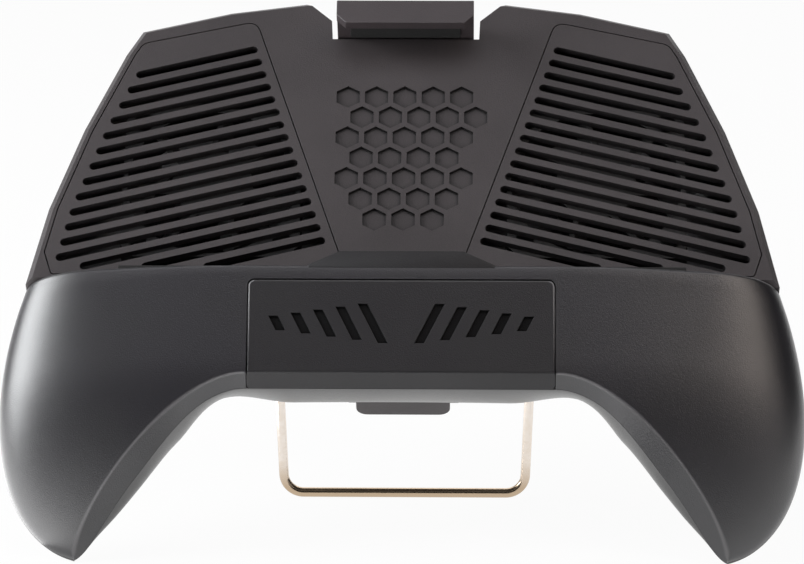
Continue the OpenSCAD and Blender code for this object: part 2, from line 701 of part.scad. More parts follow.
// Two pull springs behind the slider, clear of its finger lip, as closely wound tubes
spring_d = 2.8;
spring_l = 1.8 * clamp_travel;
spring_x = 5;
spring_y = clamp_travel + tail_t - tail_y + 1;
module clamp_springs() {
    spring_z = slider_z - slider_t - spring_room / 2;
    color("silver") standing() both_sides() translate([spring_x, spring_y, spring_z])
        rotate([-90, 0, 0]) difference() {
            cylinder(d = spring_d, h = spring_l);
            translate([0, 0, -eps]) cylinder(d = spring_d - 1, h = spring_l + 2 * eps);
        }
}

// Wire stand: one rod led round four bends, its pivot ends turned inward into the brackets
stand_in = 20;
bend_n = 6;
ring_n = 24;
function bend(p, c, q) = let(d = unit(c - p), e = unit(q - c), turn = acos(d * e), n = [d.y, -d.x],
    o = c - bend_r * tan(turn / 2) * d + bend_r * n) [for (i = [0 : bend_n]) let(a = turn * i / bend_n)
        [o - bend_r * (n * cos(a) - d * sin(a)), d * cos(a) + n * sin(a)]];
corners = [[stand_in, 0], [leg_x, 0], [foot_x, -leg_l], [-foot_x, -leg_l], [-leg_x, 0], [-stand_in, 0]];
wire_path = concat([[corners[0], [1, 0]]],
    [for (i = [1 : 4]) each bend(corners[i - 1], corners[i], corners[i + 1])], [[corners[5], [1, 0]]]);
module wire(path, r) {
    last = len(path) - 1;
    function id(i, k) = i * ring_n + k % ring_n;
    polyhedron([for (s = path, k = [0 : ring_n - 1]) let(a = 360 * k / ring_n)
            [s[0].x - r * cos(a) * s[1].y, s[0].y + r * cos(a) * s[1].x, r * sin(a)]],
        concat([[for (k = [0 : ring_n - 1]) id(0, k)], [for (k = [ring_n - 1 : -1 : 0]) id(last, k)]],
            [for (i = [0 : last - 1], k = [0 : ring_n - 1]) each [[id(i, k), id(i + 1, k), id(i + 1, k + 1)],
                [id(i, k), id(i + 1, k + 1), id(i, k + 1)]]]));
}
module kickstand() {
    color("silver") standing() translate([0, pivot_y, pivot_z]) rotate([stand_open, 0, 0])
        wire(wire_path, wire_d / 2);
}

// Brackets hold the wire's pivot ends on the back panel
bracket_x = [stand_in - 1, leg_x - bend_r - 0.6];
bracket_h = pivot_d + wire_d / 2 + 1.6;
bracket_t = 2.4;
bracket_y = [-4, 12];
bracket_hub = 3;
bracket_screw = 8;
module stand_brackets() {
    color("#403e3c") standing() both_sides() difference() {
        union() {
            box(bracket_x, [pivot_y, pivot_y] + bracket_y, [panel_z - bracket_t, panel_z]);
            box(bracket_x, [pivot_y - bracket_hub, pivot_y + bracket_hub], [panel_z - bracket_h, panel_z]);
        }
        translate([bracket_x[0] - eps, pivot_y, pivot_z]) rotate([0, 90, 0])
            cylinder(d = wire_d + 2 * fit, h = far);
        post((bracket_x[0] + bracket_x[1]) / 2, pivot_y + bracket_screw, -far, far, screw_d + fit);
    }
}
module bracket_screws() {
    color("gray") standing() both_sides()
        translate([(bracket_x[0] + bracket_x[1]) / 2, pivot_y + bracket_screw, 0])
            screw(panel_z - bracket_t, bracket_t);
}

// Fans: square frame with a bearing disc on three struts, and a bladed rotor on its shaft
duct_r = fan_w / 2 - 1;
hub_r = 9;
disc_t = 1.5;
module fan_frame() {
    c = 3;
    h = fan_w / 2;
    translate([fan_x, fan_y, fan_low]) difference() {
        union() {
            difference() {
                linear_extrude(fan_t) polygon([[-h + c, -h], [h - c, -h], [h, -h + c], [h, h - c], [h - c, h],
                    [-h + c, h], [-h, h - c], [-h, -h + c]]);
                translate([0, 0, -eps]) cylinder(r = duct_r, h = fan_t + 2 * eps);
            }
            cylinder(r = hub_r, h = disc_t);
            for (a = [90, 210, 330]) rotate(a) translate([hub_r - 1, -1, 0])
                cube([duct_r - hub_r + 1.5, 2, disc_t]);
        }
        translate([0, 0, -eps]) cylinder(r = bearing_r, h = fan_t);
        for (sx = [-1, 1], sy = [-1, 1])
            translate([sx * fan_hole, sy * fan_hole, -eps]) cylinder(d = screw_d + head_room, h = far);
    }
}
module impeller() {
    gap = 0.5;
    low = disc_t + gap;
    blade_h = fan_t - low - gap;
    translate([fan_x, fan_y, fan_low]) {
        cylinder(r = bearing_r - fit, h = low + 1);
        translate([0, 0, low]) difference() {
            union() {
                cylinder(r = hub_r, h = blade_h);
                intersection() {
                    cylinder(r = duct_r - 0.8, h = blade_h);
                    for (i = [0 : blade_n - 1]) rotate(i * 360 / blade_n)
                        translate([hub_r - 1, 0, blade_h / 2]) rotate([38, 0, 0])
                            cube([duct_r, 1, 2 * blade_h], center = false);
                    }
            }
            translate([0, 0, -eps]) difference() {
                cylinder(r = hub_r - 1, h = blade_h - 1.2);
                cylinder(r = 2.4, h = far);
            }
        }
    }
}
module right_fan_frame() {
    color("#222222") standing() fan_frame();
}
module left_fan_frame() {
    color("#222222") standing() mirror([1, 0, 0]) fan_frame();
}
module right_impeller() {
    color("#1a1a1a") standing() impeller();
}
module left_impeller() {
    color("#1a1a1a") standing() mirror([1, 0, 0]) impeller();
}
module fan_screws() {
    color("gray") standing() both_sides() fan_corners() mirror([0, 0, 1])
        screw(-fan_top, fan_t + 5);
}

// Battery cell along the front band, with a contact at each end
module battery_cell() {
    color("steelblue") standing() translate([-cell_l / 2, cell_y, cell_z]) rotate([0, 90, 0])
        cylinder(d = cell_d, h = cell_l);
}
module battery_contacts() {
    color("gold") standing() both_sides()
        box(contact_x, [cell_y - contact_w / 2, cell_y + contact_w / 2], [cell_z, cell_z] + contact_z);
}

// Circuit board with its switch, a charging socket and the power button, behind the back panel
board_x = 22;
board_h = 10;
switch_w = [5, 6];
flange_z = panel_in + slide_gap;
flange_t = 1;
switch_z = flange_z + flange_t + button_travel + fit;
module circuit_board() {
    color("darkgreen") standing() {
        difference() {
            box([-board_x, board_x], [board_y - board_h / 2, board_y + board_h / 2],
                [board_z, board_z + board_t]);
            both_sides() post(board_post, board_y, -far, far, screw_d + head_room);
        }
        translate([button_x, board_y, switch_z]) linear_extrude(board_z + eps - switch_z)
            square(switch_w, center = true);
    }
}
module board_screws() {
    color("gray") standing() both_sides() translate([board_post, board_y, 0]) mirror([0, 0, 1])
        screw(-board_z - board_t, board_t + 4);
}
module usb_socket() {
    color("silver") standing() translate([socket_x, board_y, panel_z + fit])
        linear_extrude(board_z - panel_z - fit) difference() {
            square(socket_w, center = true);
            square(socket_w - [1, 1], center = true);
        }
}
module power_button() {
    proud = button_travel + 2 * fit;
    color("#2a2a2a") standing() {
        post(button_x, board_y, panel_z - proud, flange_z + eps, button_d);
        post(button_x, board_y, flange_z, flange_z + flange_t, button_d + 2);
    }
}

front_shell();
rear_shell();
cradle_frame();
left_grille();
right_grille();
front_cover();
clamp_slider();
jaw_pad();
ledge_pads();
clamp_springs();
spine_cover();
spine_screws();
kickstand();
stand_brackets();
bracket_screws();
left_fan_frame();
right_fan_frame();
left_impeller();
right_impeller();
fan_screws();
battery_cell();
battery_contacts();
circuit_board();
board_screws();
usb_socket();
power_button();
case_screws();
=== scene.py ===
import math

import bmesh
import bpy
import numpy as np
from mathutils import Matrix, Vector
from mathutils.kdtree import KDTree


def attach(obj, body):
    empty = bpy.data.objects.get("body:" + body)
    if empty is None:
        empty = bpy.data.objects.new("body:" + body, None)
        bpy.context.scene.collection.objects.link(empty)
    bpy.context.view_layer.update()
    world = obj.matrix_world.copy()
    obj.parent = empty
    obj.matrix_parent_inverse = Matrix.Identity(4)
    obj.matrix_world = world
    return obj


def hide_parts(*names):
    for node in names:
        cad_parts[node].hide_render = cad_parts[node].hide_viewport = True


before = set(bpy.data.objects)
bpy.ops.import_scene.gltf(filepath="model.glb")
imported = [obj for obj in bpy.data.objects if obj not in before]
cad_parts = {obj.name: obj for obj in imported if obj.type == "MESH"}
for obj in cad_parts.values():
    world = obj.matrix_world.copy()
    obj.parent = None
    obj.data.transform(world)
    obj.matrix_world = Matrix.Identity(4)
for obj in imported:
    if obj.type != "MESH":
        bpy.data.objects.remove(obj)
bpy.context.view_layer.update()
scene = bpy.context.scene
scene.view_settings.view_transform = "Standard"


# The camera stands a little under a metre in front of the grip, looks slightly down on it and sees it
# through a long lens. The middle of the phone ledge is the point it is aimed at.
ledge_mid = Vector((0, -0.0238241, 0.0571119))
camera_tilt = math.radians(12)
camera_turn, camera_lift, camera_reach = -0.018, 0.0004, 0.936
look = Vector((camera_turn, math.cos(camera_tilt), -math.sin(camera_tilt))).normalized()
up = Vector((0, math.sin(camera_tilt), math.cos(camera_tilt)))
camera_data = bpy.data.cameras.new("camera")
camera_data.lens = 191.14
camera_data.sensor_width = 36
camera_data.clip_end = 20
camera = bpy.data.objects.new("camera", camera_data)
camera.location = ledge_mid + camera_lift * up - camera_reach * look
camera.rotation_euler = look.to_track_quat("-Z", "Y").to_euler()
scene.collection.objects.link(camera)
scene.camera = camera


# The grip stands on a white studio sweep: a level sheet that curves up behind it.
# Seen straight on or in a reflection the sheet is white, and it keeps a trace of the grip's shadow.
def new_material(name):
    material = bpy.data.materials.new(name)
    material.use_nodes = True
    material.node_tree.nodes.clear()
    return material, material.node_tree.nodes, material.node_tree.links


def new_mesh(name, points, faces, smooth=True):
    mesh = bpy.data.meshes.new(name)
    mesh.from_pydata([tuple(p) for p in points], [], [tuple(int(i) for i in f) for f in faces])
    mesh.validate()
    if smooth:
        mesh.shade_smooth()
    else:
        mesh.shade_flat()
    piece = bpy.data.objects.new(name, mesh)
    scene.collection.objects.link(piece)
    return piece


sweep_front, sweep_back, sweep_r, sweep_top, sweep_half = -4.5, 3.5, 0.8, 4.0, 4.5
sweep_line = [(sweep_front, 0.0), (sweep_back, 0.0)]
sweep_line += [(sweep_back + sweep_r * math.sin(a), sweep_r - sweep_r * math.cos(a))
               for a in np.linspace(0.1, math.pi / 2, 12)]
sweep_line += [(sweep_back + sweep_r, sweep_top)]
sweep_points = [(x, y, z) for x in (-sweep_half, sweep_half) for y, z in sweep_line]
count = len(sweep_line)
sweep = new_mesh("studio_sweep", sweep_points,
                 [(i, count + i, count + i + 1, i + 1) for i in range(count - 1)])
material, nodes, links = new_material("white_sweep")
output = nodes.new("ShaderNodeOutputMaterial")
paper = nodes.new("ShaderNodeBsdfDiffuse")
paper.inputs["Color"].default_value = (0.86, 0.86, 0.86, 1)
glow = nodes.new("ShaderNodeEmission")
glow.inputs["Color"].default_value = (1, 1, 1, 1)
glow.inputs["Strength"].default_value = 1.0
shadowed = nodes.new("ShaderNodeMixShader")
shadowed.inputs["Fac"].default_value = 0.95
seen = nodes.new("ShaderNodeMixShader")
path = nodes.new("ShaderNodeLightPath")
either = nodes.new("ShaderNodeMath")
either.operation = "MAXIMUM"
any_ray = nodes.new("ShaderNodeMath")
any_ray.operation = "MAXIMUM"
links.new(path.outputs["Is Camera Ray"], either.inputs[0])
links.new(path.outputs["Is Glossy Ray"], either.inputs[1])
links.new(either.outputs[0], any_ray.inputs[0])
links.new(path.outputs["Is Transmission Ray"], any_ray.inputs[1])
links.new(paper.outputs[0], shadowed.inputs[1])
links.new(glow.outputs[0], shadowed.inputs[2])
links.new(any_ray.outputs[0], seen.inputs["Fac"])
links.new(paper.outputs[0], seen.inputs[1])
links.new(shadowed.outputs[0], seen.inputs[2])
links.new(seen.outputs[0], output.inputs["Surface"])
sweep.data.materials.append(material)


# Studio light: a large soft box on the left, a weaker warm one on the right, one above and one behind.
# White cards on the floor light the handles from below, and a faint sky fills the rest.
world = bpy.data.worlds.new("studio")
scene.world = world
world.use_nodes = True
world.node_tree.nodes["Background"].inputs["Color"].default_value = (0.95, 0.97, 1.0, 1)
world.node_tree.nodes["Background"].inputs["Strength"].default_value = 0.045


def soft_box(name, place, aim, size, power, colour):
    data = bpy.data.lights.new(name, "AREA")
    data.shape = "RECTANGLE"
    data.size, data.size_y = size
    data.energy = power
    data.color = colour
    lamp = bpy.data.objects.new(name, data)
    lamp.location = place
    lamp.rotation_euler = (Vector(aim) - Vector(place)).to_track_quat("-Z", "Y").to_euler()
    lamp.visible_camera = False
    scene.collection.objects.link(lamp)


soft_box("left_box", place=(-0.72, -0.10, 0.38), aim=(-0.08, -0.03, 0.06), size=(0.56, 0.5),
         power=8.4, colour=(0.97, 0.99, 1.0))
soft_box("right_box", place=(0.48, -0.41, 0.55), aim=(0.06, -0.02, 0.06), size=(0.3, 0.4),
         power=1.1, colour=(1.0, 0.88, 0.8))
soft_box("right_fill", place=(0.52, -0.42, 0.16), aim=(0.07, -0.02, 0.04), size=(0.4, 0.3),
         power=0.15, colour=(1.0, 0.95, 0.95))
soft_box("top_box", place=(0, -0.36, 1.0), aim=(0, 0, 0.06), size=(1.1, 0.5),
         power=2.6, colour=(0.98, 0.96, 1))
soft_box("back_box", place=(0, 0.8, 0.8), aim=(0, 0.02, 0.06), size=(1.2, 0.6),
         power=3.0, colour=(1, 1, 1))
card_z = 0.0006
for name, x, y, size, power, colour in (
        ("left_card", -0.33, -0.13, (0.5, 0.6), 2.0, (1, 1, 1)),
        ("front_card", 0, -0.32, (0.3, 0.3), 0.3, (1, 1, 1)),
        ("right_card", 0.38, -0.1, (0.3, 0.3), 0.3, (1, 0.97, 0.94))):
    soft_box(name, place=(x, y, card_z), aim=(x, y, 1), size=size, power=power, colour=colour)


# Front shell: the phone ledge, the front band and the front halves of both handles in one moulding.
# Charcoal plastic with a fine spark-eroded skin; it closes against the rear shell along the parting line.
mm = 0.001
lean = math.radians(45)


def stand_up(points):
    """From the flat drawing in mm (x right, y up the plate, z out of it) to the standing grip in metres."""
    p = np.asarray(points, float) * mm
    turned = np.stack([p[..., 0], p[..., 1] * math.cos(lean) - p[..., 2] * math.sin(lean),
                       p[..., 1] * math.sin(lean) + p[..., 2] * math.cos(lean)], -1)
    return turned + np.array(ledge_mid)


def bezier(a, b, c, d, t):
    """Points at t on the curve from a to d, pulled towards b and c."""
    t = np.asarray(t, float)[..., None]
    a, b, c, d = (np.asarray(p, float) for p in (a, b, c, d))
    return (1 - t) ** 3 * a + 3 * (1 - t) ** 2 * t * b + 3 * (1 - t) * t * t * c + t ** 3 * d


# Every point of the shell lies at a share m of the way from the middle to the side, and at a share b
# of the way from the ledge down to the ridge; t is how far the surface lies inside the outer skin.
ledge_half, ledge_h, skirt, wall = 82.8, 7.6, 5.0, 2.0
band_angle = math.radians(16.7)
band_slope = math.tan(band_angle)
ridge_x, ridge_y = 34.0, 23.3
tip_x, tip_y = 71.0, 57.0
bevel_w, bevel_drop, tip_drop, parting = 2.2, 3.0, 3.0, 0.15
flat_share = 0.45
cheek_fall, grip_fall, grip_start = 0.0015, 0.0071, 20.0
tip_inset = np.array([1.8, 3.6])
ridge_reach, tip_lean, tip_climb = 22.9, 0.66, 8.5
side_bulge, side_reach, side_belly, side_climb = 6.8, 15.0, 11.2, 11.0
edge_sag = 20.0
shoulder_start, shoulder_spread, shoulder_n = 0.8, 0.25, 2.5


def face_z(p):
    """Height of the front face: a slope that falls away to the sides and towards the handle tips."""
    x, y = np.abs(p[..., 0]), p[..., 1]
    return (ledge_h + band_slope * y - cheek_fall * np.maximum(0, x - ridge_x) ** 2
            - grip_fall * np.maximum(0, -y - grip_start) ** 2)


def handle_tip(t):
    return np.array([tip_x, -tip_y]) + t * tip_inset


def ridge_pt(m, t):
    """The lower edge of the front face, straight under the band and curved down the handle."""
    m = np.asarray(m, float)
    straight = np.stack([ridge_x * m / flat_share, np.full_like(m, t - ridge_y)], -1)
    curve = bezier([ridge_x, t - ridge_y], [tip_x - ridge_reach + 0.4 * t, t - ridge_y],
                   [tip_x - tip_lean + 0.7 * t, tip_climb - tip_y + 0.7 * t], handle_tip(t),
                   np.clip((m - flat_share) / (1 - flat_share), 0, 1))
    return np.where((m <= flat_share)[..., None], straight, curve)


def side_pt(b, t, y0):
    """The outer side of the handle, from the end of the ledge to the tip."""
    return bezier([ledge_half - t, y0], [ledge_half + side_bulge - t, y0 - side_reach],
                  [ledge_half + side_belly - t, side_climb - tip_y], handle_tip(t), b)


shoulder_drop = float(face_z(np.array([ledge_half, 0.0]))) + skirt


def edge_drop(b):
    """How far the parting line lies under the front face along the handle's outer side."""
    return shoulder_drop + (tip_drop - shoulder_drop) * b + edge_sag * b * (1 - b)


def shoulder(m, b):
    """Rounding of the front face over to the parting line, from 0 on the face to 1 at the side."""
    start = shoulder_start - shoulder_spread * b
    s = np.clip((m - start) / (1 - start), 0, 1)
    return 1 - (1 - s ** shoulder_n) ** (1 / shoulder_n)


def side_z(b):
    return face_z(side_pt(b, 0, 0)) - edge_drop(b)


def rise(m, start, end):
    """A smooth step from 0 to 1."""
    u = np.clip((m - start) / (end - start), 0, 1)
    return u * u * (3 - 2 * u)


def ridge_out(m, t):
    """Direction square to the ridge, away from the front face."""
    d = ridge_pt(np.minimum(1, m + 0.01), t) - ridge_pt(m - 0.01, t)
    d /= np.linalg.norm(d, axis=-1, keepdims=True)
    return np.stack([d[..., 1], -d[..., 0]], -1)


def rim_pt(m, t):
    """The rim under the ridge, where the front shell ends; it is wider along the handle."""
    reach = bevel_w * (1 - m ** 12) * (1 + rise(m, 0.54, 0.76))
    return ridge_pt(m, t) + reach[..., None] * ridge_out(m, t)


def rim_z(m):
    return face_z(ridge_pt(m, 0)) - tip_drop * shoulder(m, 1) - bevel_drop * (1 - m ** 24)


tip_axis = np.array([0.35, -0.937]) / math.hypot(0.35, 0.937)
tip_soft, tip_reach = 0.7, 12.0


def blunt(p):
    """Rounds off the point of the handle tip."""
    s = (p - handle_tip(0)) @ tip_axis
    return p - ((np.hypot(s, tip_soft) + s) * np.exp(-(s / tip_reach) ** 2))[..., None] * tip_axis


def plan(m, b, t, y0, low):
    """Outline of the shell seen square to the plate, between the ledge and a low edge."""
    ledge = np.stack([m * (ledge_half - t), np.full_like(m, y0)], -1)
    corner = np.array([ledge_half - t, y0])
    bulge = side_pt(b, t, y0) - (corner + (handle_tip(t) - corner) * b)
    return blunt(ledge + (low - ledge) * b + (m * m)[..., None] * bulge)


def filleted(a, b, c, radius, steps=5):
    """Rounds the corner b of the lines a-b-c, as rows of points."""
    def arm(p):
        d = p - b
        length = np.maximum(np.linalg.norm(d, axis=-1, keepdims=True), 1e-9)
        return d / length, length
    (u, u_length), (v, v_length) = arm(a), arm(c)
    bend = np.clip((u * v).sum(-1, keepdims=True), -0.999, 0.999)
    reach = np.minimum(radius / np.tan(np.arccos(bend) / 2), 0.45 * np.minimum(u_length, v_length))
    p, q = b + u * reach, b + v * reach
    return [(1 - s) ** 2 * p + 2 * (1 - s) * s * b + s * s * q for s in np.linspace(0, 1, steps)]


notch_x, notch_out, peak_x, shoulder_x, crown_half = 16.7, 16.9, 22.8, 39.9, 60.0
column_m = np.unique(np.concatenate([np.linspace(0, flat_share, 25),
                                     np.array([notch_x, notch_out, peak_x, shoulder_x]) / crown_half,
                                     1 - (1 - flat_share) * (1 - np.linspace(0, 1, 57)) ** 1.6]).round(6))
row_b = np.sin(np.linspace(0, math.pi / 2, 49))
fold_r, ledge_r, inner_r, fold_steps = 2.4, 0.9, 0.1, 7


def front_rows(t):
    """Rows of points over the right half, from the foot of the ledge over face and fold to the rim."""
    m = column_m
    rows = []
    for b in row_b:
        p = plan(m, b, t, -t, ridge_pt(m, t))
        rows.append(np.column_stack([p, face_z(p) - t - (edge_drop(b) - t) * shoulder(m, b)]))
    foot = np.column_stack([m * (ledge_half - 2.5), np.full_like(m, -t), np.full_like(m, -skirt)])
    rim = np.column_stack([blunt(rim_pt(m, t)), rim_z(m)])
    ledge_round = filleted(foot, rows[0], rows[2], ledge_r if t == 0 else inner_r)
    fold_round = filleted(rows[-10], rows[-1], rim, fold_r if t == 0 else inner_r, fold_steps)
    return [foot] + ledge_round + rows[3:-9] + fold_round + [rim]


def mirrored_sheet(rows):
    """Rows over the right half, from the middle out, to rows over both halves."""
    return [np.concatenate([(r * np.array([-1, 1, 1]))[:0:-1], r]) for r in rows]


def thick_sheet(outer, inner):
    """Closes two sheets of rows to one wall."""
    outer, inner = (np.array(mirrored_sheet(g)) for g in (outer, inner))
    nr, nc = outer.shape[:2]
    n = nr * nc
    def at(r, c):
        return r * nc + c
    faces = []
    for r in range(nr - 1):
        for c in range(nc - 1):
            faces.append((at(r, c), at(r + 1, c), at(r + 1, c + 1), at(r, c + 1)))
            faces.append((n + at(r, c), n + at(r, c + 1), n + at(r + 1, c + 1), n + at(r + 1, c)))
    for c in range(nc - 1):
        faces.append((at(0, c), at(0, c + 1), n + at(0, c + 1), n + at(0, c)))
        faces.append((at(nr - 1, c + 1), at(nr - 1, c), n + at(nr - 1, c), n + at(nr - 1, c + 1)))
    for r in range(nr - 1):
        faces.append((at(r + 1, 0), at(r, 0), n + at(r, 0), n + at(r + 1, 0)))
        faces.append((at(r, nc - 1), at(r + 1, nc - 1), n + at(r + 1, nc - 1), n + at(r, nc - 1)))
    return np.concatenate([outer.reshape(-1, 3), inner.reshape(-1, 3)]), faces


def extruded(name, outline, low, high, place=Matrix(), cut=0.0):
    """A flat outline in millimetres raised from low to high, its edges rounded by cut."""
    outline = [Vector(p) for p in outline]
    n = len(outline)
    points = [(p.x, p.y, z) for z in (low, high) for p in outline]
    faces = [tuple(range(n))[::-1], tuple(range(n, 2 * n))]
    faces += [(i, (i + 1) % n, n + (i + 1) % n, n + i) for i in range(n)]
    points = [place @ Vector(p) for p in points]
    piece = new_mesh(name, stand_up([tuple(p) for p in points]), faces, smooth=False)
    build = bmesh.new()
    build.from_mesh(piece.data)
    bmesh.ops.recalc_face_normals(build, faces=build.faces[:])
    if cut:
        edges = [e for e in build.edges if e.calc_face_angle(0) > 0.5]
        bmesh.ops.bevel(build, geom=edges, offset=cut * mm, segments=3, profile=0.5, affect="EDGES")
    build.to_mesh(piece.data)
    build.free()
    return piece


def take_away(piece, *cutters):
    """Cuts other pieces out of this one."""
    for cutter in cutters:
        cut = piece.modifiers.new("cut", "BOOLEAN")
        cut.operation, cut.solver, cut.object = "DIFFERENCE", "EXACT", cutter
        bpy.context.view_layer.update()
        cut_piece = piece.evaluated_get(bpy.context.evaluated_depsgraph_get())
        shape = bpy.data.meshes.new_from_object(cut_piece)
        piece.modifiers.clear()
        old = piece.data
        piece.data = shape
        bpy.data.meshes.remove(old)
    for cutter in cutters:
        bpy.data.objects.remove(cutter)


def join(piece, *others):
    """Makes the other pieces part of this one."""
    with bpy.context.temp_override(active_object=piece, object=piece, selected_objects=[piece, *others],
                                   selected_editable_objects=[piece, *others]):
        bpy.ops.object.join()


def smooth_faces(piece, degrees=32):
    """Smooth shading, with every fold sharper than this left as an edge."""
    piece.data.shade_smooth()
    build = bmesh.new()
    build.from_mesh(piece.data)
    for edge in build.edges:
        edge.smooth = edge.calc_face_angle(0) < math.radians(degrees)
    build.to_mesh(piece.data)
    build.free()


on_band = Matrix.Translation((0, 0, ledge_h)) @ Matrix.Rotation(band_angle, 4, "X")
cover_x, cover_top, cover_r = 33.4, 3.2, 1.5


def cover_outline(grow):
    """Outline of the front cover with round upper corners, open past the lower edge of the band."""
    top = -cover_top / math.cos(band_angle) - cover_r
    def corner(x, start):
        return [(x + (cover_r + grow) * math.cos(a), top + (cover_r + grow) * math.sin(a))
                for a in np.linspace(start, start + math.pi / 2, 9)]
    return ([(-cover_x - grow, -100), (cover_x + grow, -100)] + corner(cover_x - cover_r, 0)
            + corner(cover_r - cover_x, math.pi / 2))


points, faces = thick_sheet(front_rows(0), front_rows(wall))
front = new_mesh("front_moulding", stand_up(points), faces)
take_away(front, extruded("window", cover_outline(parting), -10, 10, on_band))
smooth_faces(front)
hook_half, hook_top, hook_h, hook_t = 20.5, 13.5, 3.2, 1.6
hook = extruded("hook", [(-hook_half, -1), (hook_half, -1), (hook_half, 0), (hook_top, hook_h),
                         (-hook_top, hook_h), (-hook_half, 0)], -hook_t, 0, on_band, cut=0.3)
smooth_faces(hook, 50)


def moulded_skin():
    """Shared look of the skins: eroded grain, slow colour drift, rubbed patches, shade painted into hollows.
    """
    group = bpy.data.node_groups.new("moulded_skin", "ShaderNodeTree")
    for name, kind in (("Tint", "Color"), ("Rubbed Tint", "Color"), ("Painted Shade Tint", "Color"),
                       ("Grain", "Float"), ("Gloss Low", "Float"), ("Gloss High", "Float")):
        group.interface.new_socket(name, in_out="INPUT", socket_type="NodeSocket" + kind)
    for name, kind in (("Color", "Color"), ("Roughness", "Float"), ("Height", "Float")):
        group.interface.new_socket(name, in_out="OUTPUT", socket_type="NodeSocket" + kind)
    nodes, links = group.nodes, group.links
    given = nodes.new("NodeGroupInput")
    made = nodes.new("NodeGroupOutput")
    where = nodes.new("ShaderNodeTexCoord")
    grain = nodes.new("ShaderNodeTexNoise")
    grain.inputs["Detail"].default_value = 3
    grain.inputs["Roughness"].default_value = 0.6
    links.new(where.outputs["Object"], grain.inputs["Vector"])
    links.new(given.outputs["Grain"], grain.inputs["Scale"])
    drift = nodes.new("ShaderNodeTexNoise")
    drift.inputs["Scale"].default_value = 38
    drift.inputs["Detail"].default_value = 4
    links.new(where.outputs["Object"], drift.inputs["Vector"])
    patch = nodes.new("ShaderNodeMapRange")
    patch.inputs["From Min"].default_value = 0.35
    patch.inputs["From Max"].default_value = 0.7
    links.new(drift.outputs["Fac"], patch.inputs["Value"])
    pit = nodes.new("ShaderNodeMapRange")
    pit.inputs["From Min"].default_value = 0.38
    pit.inputs["From Max"].default_value = 0.62
    links.new(grain.outputs["Fac"], pit.inputs["Value"])
    speck = nodes.new("ShaderNodeMath")
    speck.operation = "MULTIPLY_ADD"
    speck.inputs[1].default_value = 0.6
    links.new(pit.outputs["Result"], speck.inputs[0])
    links.new(patch.outputs["Result"], speck.inputs[2])
    tint = nodes.new("ShaderNodeMix")
    tint.data_type = "RGBA"
    links.new(speck.outputs[0], tint.inputs["Factor"])
    links.new(given.outputs["Tint"], tint.inputs["A"])
    links.new(given.outputs["Rubbed Tint"], tint.inputs["B"])
    # Painted shade: ambient occlusion darkens the colour towards the shade tint in hollows, creases and gaps
    # between parts.
    open_sky = nodes.new("ShaderNodeAmbientOcclusion")
    open_sky.only_local = True
    open_sky.samples = 6
    open_sky.inputs["Distance"].default_value = 0.003
    painted_shade = nodes.new("ShaderNodeMapRange")
    painted_shade.inputs["From Min"].default_value = 0.5
    painted_shade.inputs["From Max"].default_value = 0.95
    links.new(open_sky.outputs["AO"], painted_shade.inputs["Value"])
    shade = nodes.new("ShaderNodeMix")
    shade.data_type = "RGBA"
    links.new(painted_shade.outputs["Result"], shade.inputs["Factor"])
    links.new(given.outputs["Painted Shade Tint"], shade.inputs["A"])
    links.new(tint.outputs["Result"], shade.inputs["B"])
    gloss = nodes.new("ShaderNodeMix")
    gloss.data_type = "FLOAT"
    links.new(patch.outputs["Result"], gloss.inputs["Factor"])
    links.new(given.outputs["Gloss High"], gloss.inputs["A"])
    links.new(given.outputs["Gloss Low"], gloss.inputs["B"])
    links.new(shade.outputs["Result"], made.inputs["Color"])
    links.new(gloss.outputs["Result"], made.inputs["Roughness"])
    links.new(grain.outputs["Fac"], made.inputs["Height"])
    return group


skin_group = moulded_skin()
# How dark the painted shade in hollows is, as a share of a plastic's tint.
painted_shade_share = 0.12


def plastic(name, tint, rubbed, grain=3800, gloss=(0.42, 0.52), shine=0.5, coat=0.0):
    """A moulded plastic; grain is the fineness of its skin and gloss its range of roughness."""
    material, nodes, links = new_material(name)
    output = nodes.new("ShaderNodeOutputMaterial")
    shader = nodes.new("ShaderNodeBsdfPrincipled")
    shader.inputs["Specular IOR Level"].default_value = shine
    shader.inputs["Coat Weight"].default_value = coat
    shader.inputs["Coat Roughness"].default_value = 0.3
    skin = nodes.new("ShaderNodeGroup")
    skin.node_tree = skin_group
    skin.inputs["Tint"].default_value = (*tint, 1)
    skin.inputs["Rubbed Tint"].default_value = (*rubbed, 1)
    skin.inputs["Painted Shade Tint"].default_value = (*[c * painted_shade_share for c in tint], 1)
    skin.inputs["Grain"].default_value = grain
    skin.inputs["Gloss Low"].default_value, skin.inputs["Gloss High"].default_value = gloss
    relief = nodes.new("ShaderNodeBump")
    relief.inputs["Distance"].default_value = 0.00013
    relief.inputs["Strength"].default_value = 0.5
    links.new(skin.outputs["Color"], shader.inputs["Base Color"])
    links.new(skin.outputs["Roughness"], shader.inputs["Roughness"])
    links.new(skin.outputs["Height"], relief.inputs["Height"])
    links.new(relief.outputs["Normal"], shader.inputs["Normal"])
    links.new(shader.outputs[0], output.inputs["Surface"])
    return material


# Painted highlight along the fold under the front face: the rows of its rounding are marked, strongest in the
# middle row.
fold_highlight_weights = (0, 0.3, 0.8, 1, 0.8, 0.3, 0)
fold_rows = mirrored_sheet(front_rows(0)[-1 - fold_steps:-1])
near_fold = KDTree(sum(len(row) for row in fold_rows))
for k, row in enumerate(fold_rows):
    for p in stand_up(row):
        near_fold.insert(p, k)
near_fold.balance()
fold_highlight = front.data.attributes.new("fold_highlight", "FLOAT", "POINT")
for v in front.data.vertices:
    place, k, gap = near_fold.find(v.co)
    fold_highlight.data[v.index].value = fold_highlight_weights[k] if gap < 0.002 * mm else 0
shell_plastic = plastic("charcoal_shell", (0.005, 0.0045, 0.0065), (0.014, 0.013, 0.0168),
                        gloss=(0.28, 0.34), shine=1.0, coat=0.25)


